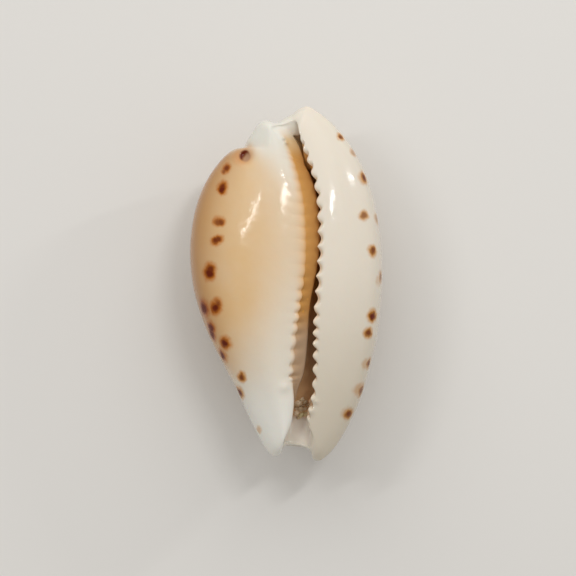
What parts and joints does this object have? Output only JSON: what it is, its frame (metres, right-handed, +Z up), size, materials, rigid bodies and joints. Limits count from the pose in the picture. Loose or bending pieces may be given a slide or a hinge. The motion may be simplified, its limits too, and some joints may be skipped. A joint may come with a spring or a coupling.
{
  "type": "cowrie shell",
  "caption": "Small glossy pear-shaped cowrie shell lying on its back, its long narrow toothed opening facing up, with dark brown spots along both margins.",
  "frame": {"origin": "middle of the underside of the shell's box, on the surface that the back rests on", "axes": "+Z up, out of the toothed opening; +Y along the opening to the spire end; +X across to the outer lip"},
  "size_m": [0.0154, 0.0282, 0.0122],
  "materials": {
    "porcelain": "gloss"
  },
  "bodies": {
    "root": {"shell": "porcelain"}
  },
  "joints": []
}
